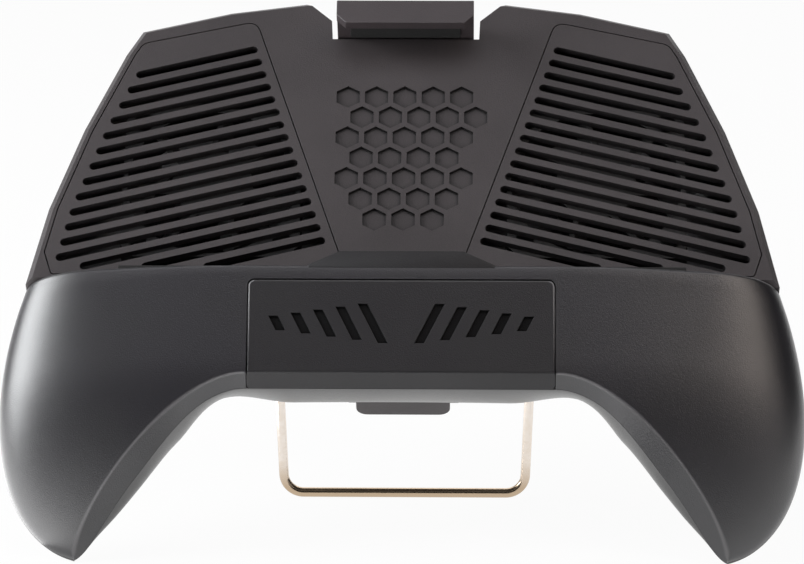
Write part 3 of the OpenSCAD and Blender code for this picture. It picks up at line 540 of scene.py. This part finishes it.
def paint_highlight(material, where, tint):
    """Paints a highlight into a plastic's colour along an edge; a mesh attribute marks where."""
    nodes, links = material.node_tree.nodes, material.node_tree.links
    highlight_mask = nodes.new("ShaderNodeAttribute")
    highlight_mask.attribute_name = where
    highlight_mix = nodes.new("ShaderNodeMix")
    highlight_mix.data_type = "RGBA"
    highlight_mix.inputs["B"].default_value = (*tint, 1)
    links.new(highlight_mask.outputs["Fac"], highlight_mix.inputs["Factor"])
    links.new(nodes["Group"].outputs["Color"], highlight_mix.inputs["A"])
    links.new(highlight_mix.outputs["Result"], nodes["Principled BSDF"].inputs["Base Color"])


# The fold's painted highlight goes into the shell's colour.
paint_highlight(shell_plastic, "fold_highlight", (0.10, 0.097, 0.102))
front.data.materials.clear()
front.data.materials.append(shell_plastic)
hook.data.materials.append(plastic("black_hook", (0.006, 0.0055, 0.007), (0.012, 0.0115, 0.013)))
join(front, hook)
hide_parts("front_shell")
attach(front, "grip")


# Rear shell: the back of the body with the rear halves of the handles, in the same charcoal plastic.
# A raised panel carries the clamp guide and the stand; slots behind the fans let the air in.
back_d = 27.5
plate_side = ([0.15, 20, 41.5, 62.5, 69, 74.4, 77], [82.8, 78.8, 72, 63.5, 60, 39.9, 22.8])
upper_u = np.linspace(0, 1, 29)[:-1] ** 1.7


def swell(m, n):
    """Fullness of the back, from 1 in the middle to 0 at the edge."""
    return (1 - np.clip(m, 0, 1) ** n) ** (1 / n)


palm_out, waist_in, heel_out = 6.9, 2.4, 5.5


def belly_pt(m, b, t):
    """The lower edge of the back, let out behind the handle to fill the palm."""
    palm = palm_out * rise(m, 0.49, 0.634) - waist_in * rise(m, 0.3, 0.46) + heel_out * rise(m, 0.58, 0.87)
    out = (1 - m ** 14) * palm * math.sin(math.pi * min(1, (1 - b) / 0.5) ** 0.9)
    return rim_pt(m, t) + out[:, None] * ridge_out(m, t)


crown_y = [66.4, 66.4, 71.5, 77.0, 74.4, 69.0]
crown_side, crown_low, side_low = 60.0, 69.0, 0.15


def rear_rows(t):
    """Rows of points over the right half of the back, from the crown behind the plate to the rim."""
    m = column_m
    keys = np.array([0, notch_x, notch_out, peak_x, shoulder_x, crown_half]) / crown_half
    top_x = np.interp(m, keys, [0, notch_x + t, notch_out + t, peak_x + t, shoulder_x, crown_half - t])
    top_y = np.interp(m, keys, crown_y) - t
    edge = -skirt - parting
    rows = []
    for u in upper_u:
        straight_side = crown_side + (ledge_half - crown_side) * u
        side = np.interp(crown_low + (side_low - crown_low) * u, *plate_side) - straight_side
        x = top_x + (m * (ledge_half - t) - top_x) * u + m * m * side
        depth = (t - back_d - edge) * swell(m, 7) * swell(1 - u, 6)
        rows.append(np.column_stack([x, top_y * (1 - u), edge + depth]))
    for b in row_b:
        p = plan(m, b, t, 0, belly_pt(m, b, t))
        e = side_z(b) + (rim_z(m) - rim_z(np.array(1.0))) * b - parting
        depth = (t - back_d - e) * swell(m, 7 - 4 * b) * swell(b, 1.6)
        rows.append(np.column_stack([p, e + depth]))
    return rows


points, faces = thick_sheet(rear_rows(wall), rear_rows(0))
rear = new_mesh("rear_moulding", stand_up(points), faces)


def box_outline(x, y, half_w, half_h):
    return [(x - half_w, y - half_h), (x + half_w, y - half_h),
            (x + half_w, y + half_h), (x - half_w, y + half_h)]


def round_outline(x, y, radius, n=28):
    return [(x + radius * math.cos(a), y + radius * math.sin(a))
            for a in np.linspace(0, 2 * math.pi, n, endpoint=False)]


def slot_outline(x0, x1, y, width):
    r = width / 2
    return ([(x1 + r * math.sin(a), y - r * math.cos(a)) for a in np.linspace(0, math.pi, 9)]
            + [(x0 - r * math.sin(a), y + r * math.cos(a)) for a in np.linspace(0, math.pi, 9)])


head_bore_r, shank_bore_r, head_seat, far_back = 2.2, 1.2, -20, -60
upper_screw, lower_screw = (25, 60), (56, -12)
intake_count, intake_pitch, intake_w = 6, 5.0, 1.6
fan_y = 30
cutters = []
for side in (-1, 1):
    for x, y in (upper_screw, lower_screw):
        cutters.append(extruded("bore", round_outline(side * x, y, head_bore_r), far_back, head_seat))
    for i in range(intake_count):
        ends = sorted((side * 34, side * 55))
        y = fan_y + (i - (intake_count - 1) / 2) * intake_pitch
        cutters.append(extruded("intake", slot_outline(*ends, y, intake_w), far_back, -22))
take_away(rear, *cutters)
smooth_faces(rear)
panel_profile = [(-11.2, -28.5), (62, -28.5), (63, -27.5), (63, -24), (0, -24), (-12.2, -20), (-12.2, -27.5)]
sideways = Matrix(((0, 0, 1, 0), (1, 0, 0, 0), (0, 1, 0, 0), (0, 0, 0, 1)))
panel_half = 31
button_x, socket_x, board_y = -19, 18.5, 50
panel = extruded("panel", panel_profile, -panel_half, panel_half, sideways, cut=0.4)
take_away(panel, extruded("button_hole", round_outline(button_x, board_y, 3.2), far_back, 0),
          extruded("socket_hole", box_outline(socket_x, board_y, 4.2, 1.7), far_back, 0),
          *[extruded("bore", round_outline(side * upper_screw[0], upper_screw[1], head_bore_r), far_back, 0)
            for side in (-1, 1)])
smooth_faces(panel)
pillar_r, post_r, fan_screw_y = 3.2, 3.0, (14, 46)
pillars = []
for side in (-1, 1):
    for (x, y), foot in ((upper_screw, -26.5), (lower_screw, -23.5)):
        pillar = extruded("screw_pillar", round_outline(side * x, y, pillar_r), foot, -12)
        take_away(pillar,
                  extruded("head_bore", round_outline(side * x, y, head_bore_r), far_back, head_seat),
                  extruded("shank_bore", round_outline(side * x, y, shank_bore_r), head_seat - 1, -11))
        pillars.append(pillar)
    for x, foot in ((27, -25.6), (59, -25.0)):
        for y in fan_screw_y:
            pillars.append(extruded("fan_post", round_outline(side * x, y, post_r), foot, -14.65))
    pillars.append(extruded("board_post", round_outline(side * 10, board_y, 2.5), -26.5, -19.45))
for pillar in pillars:
    smooth_faces(pillar)
join(rear, panel, *pillars)
rear.data.materials.clear()
rear.data.materials.append(plastic("charcoal_back", (0.021, 0.0205, 0.021), (0.028, 0.027, 0.027),
                                   gloss=(0.32, 0.40), shine=1.0, coat=0.45))
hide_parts("rear_shell")
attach(rear, "grip")


# Filter panels: a stiff moulded mesh of black nylon clipped inside the rear shell over each set of air slots.
# It keeps lint out of the fans and hides them from behind.
def moulded_mesh():
    material, nodes, links = new_material("black_filter_mesh")
    output = nodes.new("ShaderNodeOutputMaterial")
    shader = nodes.new("ShaderNodeBsdfPrincipled")
    shader.inputs["Roughness"].default_value = 0.7
    where = nodes.new("ShaderNodeTexCoord")
    ribs = []
    for direction in ("X", "Y"):
        wave = nodes.new("ShaderNodeTexWave")
        wave.bands_direction = direction
        wave.inputs["Scale"].default_value = 420
        links.new(where.outputs["Object"], wave.inputs["Vector"])
        ribs.append(wave)
    lattice = nodes.new("ShaderNodeMath")
    lattice.operation = "MULTIPLY"
    links.new(ribs[0].outputs["Fac"], lattice.inputs[0])
    links.new(ribs[1].outputs["Fac"], lattice.inputs[1])
    rib_tint = nodes.new("ShaderNodeMix")
    rib_tint.data_type = "RGBA"
    rib_tint.inputs["A"].default_value = (0.002, 0.002, 0.002, 1)
    rib_tint.inputs["B"].default_value = (0.02, 0.02, 0.021, 1)
    links.new(lattice.outputs[0], rib_tint.inputs["Factor"])
    relief = nodes.new("ShaderNodeBump")
    relief.inputs["Distance"].default_value = 0.00015
    links.new(lattice.outputs[0], relief.inputs["Height"])
    links.new(rib_tint.outputs["Result"], shader.inputs["Base Color"])
    links.new(relief.outputs["Normal"], shader.inputs["Normal"])
    links.new(shader.outputs[0], output.inputs["Surface"])
    return material


filter_mesh = moulded_mesh()
filter_x, filter_z, filter_tilt, filter_w, filter_half_t = 44.5, -25.0, 0.022, 34, 0.1
for side, name in ((-1, "left_filter"), (1, "right_filter")):
    lay = Matrix.Translation((side * filter_x, fan_y, filter_z))
    lay = lay @ Matrix.Rotation(-side * filter_tilt, 4, "Y") @ Matrix.Scale(0.9, 4, (1, 0, 0))
    filter_panel = extruded(name, slot_outline(-7, 7, 0, filter_w), -filter_half_t, filter_half_t,
                            lay, cut=0.04)
    filter_panel.data.materials.append(filter_mesh)
    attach(filter_panel, "grip")


# Phone plate and grilles: a bevelled frame with a centre panel, and two slotted wings let into it.
# Moulded dark grey plastic; the wings drop into the frame's windows and rest on its shelves.
def round_edges():
    """Shared shading of the crisp pieces: smooth, with folds sharper than 32 degrees left as edges."""
    group = bpy.data.node_groups.new("round_edges", "GeometryNodeTree")
    group.interface.new_socket("Geometry", in_out="INPUT", socket_type="NodeSocketGeometry")
    group.interface.new_socket("Geometry", in_out="OUTPUT", socket_type="NodeSocketGeometry")
    nodes, links = group.nodes, group.links
    given = nodes.new("NodeGroupInput")
    made = nodes.new("NodeGroupOutput")
    faces = nodes.new("GeometryNodeSetShadeSmooth")
    faces.domain = "FACE"
    edges = nodes.new("GeometryNodeSetShadeSmooth")
    edges.domain = "EDGE"
    fold = nodes.new("GeometryNodeInputMeshEdgeAngle")
    shallow = nodes.new("FunctionNodeCompare")
    shallow.data_type = "FLOAT"
    shallow.operation = "LESS_THAN"
    shallow.inputs["B"].default_value = math.radians(32)
    links.new(given.outputs[0], faces.inputs["Geometry"])
    links.new(faces.outputs[0], edges.inputs["Geometry"])
    links.new(fold.outputs["Unsigned Angle"], shallow.inputs["A"])
    links.new(shallow.outputs[0], edges.inputs["Shade Smooth"])
    links.new(edges.outputs[0], made.inputs[0])
    return group


fold_group = round_edges()


def finish_node(name, material, edge=0.2, segments=2):
    """Gives a solid of the grip rounded edges and its own finish."""
    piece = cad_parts[name]
    weld = piece.modifiers.new("weld", "WELD")
    weld.merge_threshold = 0.000002
    merge = piece.modifiers.new("merge", "DECIMATE")
    merge.decimate_type = "DISSOLVE"
    merge.angle_limit = math.radians(1)
    if edge:
        bevel = piece.modifiers.new("bevel", "BEVEL")
        bevel.width = edge * mm
        bevel.segments = segments
        bevel.limit_method = "ANGLE"
        bevel.angle_limit = math.radians(35)
        bevel.use_clamp_overlap = True
    shade = piece.modifiers.new("shade", "NODES")
    shade.node_group = fold_group
    level = piece.modifiers.new("level", "WEIGHTED_NORMAL")
    level.keep_sharp = True
    level.weight = 100
    piece.data.materials.clear()
    piece.data.materials.append(material)


finish_node("cradle_frame", plastic("grey_frame", (0.038, 0.0325, 0.0345), (0.050, 0.043, 0.045)), 0.4, 3)
wing_plastic = plastic("grey_wing", (0.039, 0.0335, 0.0355), (0.051, 0.044, 0.046))
finish_node("left_grille", wing_plastic, 0.08)
finish_node("right_grille", wing_plastic, 0.08)


# Front cover: a snap-in inlay let into the front band, bent over its lower edge.
# Black plastic, darker than the clamp and the plate, with two rows of slanted recesses.
# A highlight is painted along its rounded rim, and shade into the recesses above the fold.
cover = new_mesh("cover_inlay", [v.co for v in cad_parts["front_cover"].data.vertices],
                 [f.vertices[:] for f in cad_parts["front_cover"].data.polygons])
build = bmesh.new()
build.from_mesh(cover.data)
bmesh.ops.remove_doubles(build, verts=build.verts[:], dist=0.002 * mm)
bmesh.ops.dissolve_limit(build, angle_limit=math.radians(1), verts=build.verts[:], edges=build.edges[:])
rim_highlight = build.verts.layers.float.new("rim_highlight")
rim_edges, recess_edges = [], []
rim_round, recess_round = 0.5 * mm, 0.15 * mm
sharp_fold, facing = 0.6, 0.98
face_out = Vector(stand_up((0, -math.sin(band_angle), math.cos(band_angle))) - stand_up((0, 0, 0)))
face_out.normalize()
top_line = Vector(stand_up((0, -3.5, 7)))
up_plate = Vector((0, 1, 1))
for edge in build.edges:
    on_face = any(f.normal.dot(face_out) > facing for f in edge.link_faces)
    if edge.calc_face_angle(0) < sharp_fold or not on_face:
        continue
    inside = all(abs(v.co.x) < (cover_x - cover_r - 0.5) * mm for v in edge.verts)
    top = all((v.co - top_line).dot(up_plate) > -0.6 * mm for v in edge.verts)
    if inside and not top:
        recess_edges.append(edge)
    else:
        rim_edges.append(edge)
rounded = bmesh.ops.bevel(build, geom=rim_edges, offset=rim_round, segments=4, profile=0.5, affect="EDGES")
rim_strip = set(rounded["faces"])
fold_z = stand_up((0, -ridge_y, float(face_z(np.array([0, -ridge_y])))))[2]
above_fold = fold_z + 1.2 * mm
# Painted highlight on the rounded rim above the fold: full on the sides, a quarter on the top.
for v in rounded["verts"]:
    if v.co.z > above_fold and all(f in rim_strip for f in v.link_faces):
        v[rim_highlight] = 1.0 if abs(v.co.x) > (cover_x - cover_r) * mm else 0.25
recess_edges = [e for e in recess_edges if e.is_valid]
bmesh.ops.bevel(build, geom=recess_edges, offset=recess_round, segments=2, profile=0.5, affect="EDGES")
outer_face = max(f.calc_center_median().dot(face_out) for f in build.faces if f.normal.dot(face_out) > facing)
# Painted shade: recess faces above the fold get a darker, duller copy of the cover plastic.
for f in build.faces:
    middle = f.calc_center_median()
    below = outer_face - middle.dot(face_out)
    in_recess = 0.1 * mm < below < 1.2 * mm and abs(middle.x) < (cover_x - 3) * mm
    if in_recess and f not in rim_strip:
        f.material_index = int(middle.z > above_fold)
build.to_mesh(cover.data)
build.free()
smooth_faces(cover)
level = cover.modifiers.new("level", "WEIGHTED_NORMAL")
level.keep_sharp, level.weight = True, 100
cover_plastic = plastic("black_cover", (0.009, 0.0085, 0.010), (0.014, 0.013, 0.015),
                        gloss=(0.34, 0.42), shine=0.6)
# The rim's painted highlight goes into the cover's colour.
paint_highlight(cover_plastic, "rim_highlight", (0.2, 0.2, 0.205))
cover.data.materials.append(cover_plastic)
cover.data.materials.append(plastic("recess_painted_shade", (0.003, 0.0028, 0.0035), (0.005, 0.0047, 0.0055),
                                    gloss=(0.55, 0.65), shine=0.15))
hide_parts("front_cover")
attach(cover, "grip")


# Clamp: jaw, arm, back plate and tail in one moulding that slides in the guide on the back.
# Matte brown-grey plastic, with a black rubber strip under the jaw and two on the ledge.
clamp_plastic = plastic("brown_clamp", (0.034, 0.026, 0.029), (0.046, 0.036, 0.039),
                        gloss=(0.4, 0.5), shine=0.8)
finish_node("clamp_slider", clamp_plastic, 0.5, 3)
rubber = plastic("black_rubber", (0.008, 0.008, 0.008), (0.014, 0.014, 0.014), grain=2600, gloss=(0.7, 0.85))
finish_node("jaw_pad", rubber, 0.2)
finish_node("ledge_pads", rubber, 0.2)


# Clamp guide, stand brackets and power button: small mouldings on the raised panel of the back.
# Charcoal plastic, the guide and the brackets held by screws; the black button slides in its own hole.
finish_node("spine_cover", plastic("charcoal_guide", (0.022, 0.021, 0.021), (0.029, 0.028, 0.028)), 0.6, 3)
finish_node("stand_brackets", plastic("charcoal_bracket", (0.022, 0.021, 0.021), (0.029, 0.028, 0.028)), 0.3)
finish_node("power_button", plastic("black_button", (0.012, 0.012, 0.012), (0.018, 0.018, 0.018)), 0.5, 3)


# Wire stand: one nickel-plated steel rod bent to a loop, its ends turned into the brackets.
# It swings on those ends; low down a warm golden reflection is painted into the plating's colour.
def metal(name, tint, dull, gloss=(0.2, 0.34)):
    """A bare or plated metal; dull is the colour of its worn places."""
    material, nodes, links = new_material(name)
    output = nodes.new("ShaderNodeOutputMaterial")
    shader = nodes.new("ShaderNodeBsdfPrincipled")
    shader.inputs["Metallic"].default_value = 1
    skin = nodes.new("ShaderNodeGroup")
    skin.node_tree = skin_group
    skin.inputs["Tint"].default_value = (*tint, 1)
    skin.inputs["Rubbed Tint"].default_value = (*dull, 1)
    # Painted shade in the metal's hollows: half its worn colour.
    skin.inputs["Painted Shade Tint"].default_value = (*[c * 0.5 for c in dull], 1)
    skin.inputs["Grain"].default_value = 900
    skin.inputs["Gloss Low"].default_value, skin.inputs["Gloss High"].default_value = gloss
    relief = nodes.new("ShaderNodeBump")
    relief.inputs["Distance"].default_value = 0.00002
    relief.inputs["Strength"].default_value = 0.3
    links.new(skin.outputs["Color"], shader.inputs["Base Color"])
    links.new(skin.outputs["Roughness"], shader.inputs["Roughness"])
    links.new(skin.outputs["Height"], relief.inputs["Height"])
    links.new(relief.outputs["Normal"], shader.inputs["Normal"])
    links.new(shader.outputs[0], output.inputs["Surface"])
    return material


pivot_y, pivot_z, stand_open = 12.0, -31.1, math.radians(48.5)
leg_x, foot_x, leg_l, stand_in, bend_r, wire_r = 29.2, 27.5, 42.5856, 20.0, 4.5, 1.1
corners = [np.array(p, float) for p in ((stand_in, 0), (leg_x, 0), (foot_x, -leg_l), (-foot_x, -leg_l),
                                        (-leg_x, 0), (-stand_in, 0))]
wire_path = [(corners[0], np.array([1.0, 0]))]
for start, corner, end in zip(corners, corners[1:], corners[2:]):
    before = (corner - start) / np.linalg.norm(corner - start)
    after = (end - corner) / np.linalg.norm(end - corner)
    turn = math.acos(float(before @ after))
    inward = np.array([before[1], -before[0]])
    centre = corner - bend_r * math.tan(turn / 2) * before + bend_r * inward
    for a in np.linspace(0, turn, 15):
        place = centre - bend_r * (inward * math.cos(a) - before * math.sin(a))
        wire_path.append((place, before * math.cos(a) + inward * math.sin(a)))
wire_path.append((corners[-1], np.array([1.0, 0])))
ring_count = 28
ring = np.linspace(0, 2 * math.pi, ring_count, endpoint=False)
wire_points = [(p[0] - wire_r * math.cos(a) * d[1], p[1] + wire_r * math.cos(a) * d[0], wire_r * math.sin(a))
               for p, d in wire_path for a in ring]
opened = Matrix.Translation((0, pivot_y, pivot_z)) @ Matrix.Rotation(stand_open, 4, "X")
wire_points = [tuple(opened @ Vector(p)) for p in wire_points]
last_ring = len(wire_points) - ring_count
wire_faces = [tuple(range(ring_count)), tuple(range(last_ring, len(wire_points)))[::-1]]
for i in range(0, last_ring, ring_count):
    for k in range(ring_count):
        k_next = (k + 1) % ring_count
        wire_faces.append((i + k, i + ring_count + k, i + ring_count + k_next, i + k_next))
wire = new_mesh("stand_wire", stand_up(wire_points), wire_faces)
smooth_faces(wire, 50)
nickel = metal("nickel_wire", (0.88, 0.81, 0.75), (0.82, 0.73, 0.64), gloss=(0.16, 0.24))
nodes, links = nickel.node_tree.nodes, nickel.node_tree.links
where = nodes.new("ShaderNodeTexCoord")
height = nodes.new("ShaderNodeSeparateXYZ")
links.new(where.outputs["Object"], height.inputs[0])
# Painted reflection: below about 9 mm above the floor the plating's colour turns golden.
reflection_mask = nodes.new("ShaderNodeMapRange")
reflection_mask.inputs["From Min"].default_value = 0.0025
reflection_mask.inputs["From Max"].default_value = 0.009
links.new(height.outputs["Z"], reflection_mask.inputs["Value"])
golden_reflection = nodes.new("ShaderNodeMix")
golden_reflection.data_type = "RGBA"
golden_reflection.inputs["A"].default_value = (0.54, 0.415, 0.29, 1)
links.new(reflection_mask.outputs["Result"], golden_reflection.inputs["Factor"])
links.new(nodes["Group"].outputs["Color"], golden_reflection.inputs["B"])
links.new(golden_reflection.outputs["Result"], nodes["Principled BSDF"].inputs["Base Color"])
wire.data.materials.append(nickel)
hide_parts("kickstand")
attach(wire, "stand")


# Screws: small pan heads with a cross recess, in blackened nickel-plated steel.
# Four close the case from behind, four hold the clamp guide by its ears and two hold the stand's brackets.
screw_steel = metal("black_nickel", (0.2, 0.2, 0.2), (0.14, 0.14, 0.14))
arm, slit = 1.15, 0.26
cross = [(slit, slit), (slit, arm), (-slit, arm), (-slit, slit), (-arm, slit), (-arm, -slit),
         (-slit, -slit), (-slit, -arm), (slit, -arm), (slit, -slit), (arm, -slit), (arm, slit)]
head_r, head_h, shank_r, recess_floor = 2.0, 1.6, 1.0, 0.75
screw_places = {"case_screws": ([upper_screw, lower_screw], head_seat, -7.01),
                "spine_screws": ([(14.9, 4), (14.9, 40)], -30.5, -28.51),
                "bracket_screws": ([(21.55, 20)], -30.9, -28.51)}
for name, (places, seat, tip) in screw_places.items():
    made = []
    for k, (x, y) in enumerate([(side * x, y) for side in (-1, 1) for x, y in places]):
        head = extruded("head", round_outline(x, y, head_r), seat - head_h, seat, cut=0.45)
        turned = Matrix.Translation((x, y, 0)) @ Matrix.Rotation(0.7 * k, 4, "Z")
        take_away(head, extruded("recess", cross, seat - 3, seat - recess_floor, turned))
        smooth_faces(head)
        shank = extruded("shank", round_outline(x, y, shank_r), seat - 0.1, tip, cut=0.1)
        smooth_faces(shank)
        made += [head, shank]
    join(*made)
    screws = made[0]
    screws.name = name + "_crosshead"
    screws.data.materials.clear()
    screws.data.materials.append(screw_steel)
    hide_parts(name)
    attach(screws, "grip")


# Fans and electrics: black fan frames and rotors behind the slots, a sleeved cell along the band,
# and the small board with its switch and charging socket.
inner_steel = metal("black_oxide", (0.07, 0.07, 0.07), (0.05, 0.05, 0.05), gloss=(0.45, 0.55))
for name in ("fan_screws", "board_screws"):
    finish_node(name, inner_steel, 0.15)
fan_plastic = plastic("black_fan", (0.010, 0.010, 0.010), (0.015, 0.015, 0.015))
for name in ("left_fan_frame", "right_fan_frame", "left_impeller", "right_impeller"):
    finish_node(name, fan_plastic, 0.15)
finish_node("clamp_springs", metal("spring_steel", (0.5, 0.5, 0.5), (0.4, 0.4, 0.4)), 0)
finish_node("battery_cell", plastic("blue_sleeve", (0.03, 0.08, 0.22), (0.04, 0.1, 0.26)), 0.4)
finish_node("battery_contacts", metal("brass_leaf", (0.75, 0.55, 0.28), (0.6, 0.45, 0.22)), 0)
finish_node("circuit_board", plastic("green_board", (0.008, 0.06, 0.025), (0.01, 0.075, 0.03)), 0.1)
finish_node("usb_socket", metal("socket_steel", (0.5, 0.5, 0.5), (0.42, 0.42, 0.42)), 0.1)
insert = extruded("socket_insert", box_outline(socket_x, board_y, 3.45, 0.95), -22, -19.45, cut=0.1)
tongue = extruded("tongue", box_outline(socket_x, board_y, 2.5, 0.3), -27.5, -21.9, cut=0.1)
smooth_faces(insert)
smooth_faces(tongue)
join(insert, tongue)
insert.data.materials.append(fan_plastic)
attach(insert, "grip")
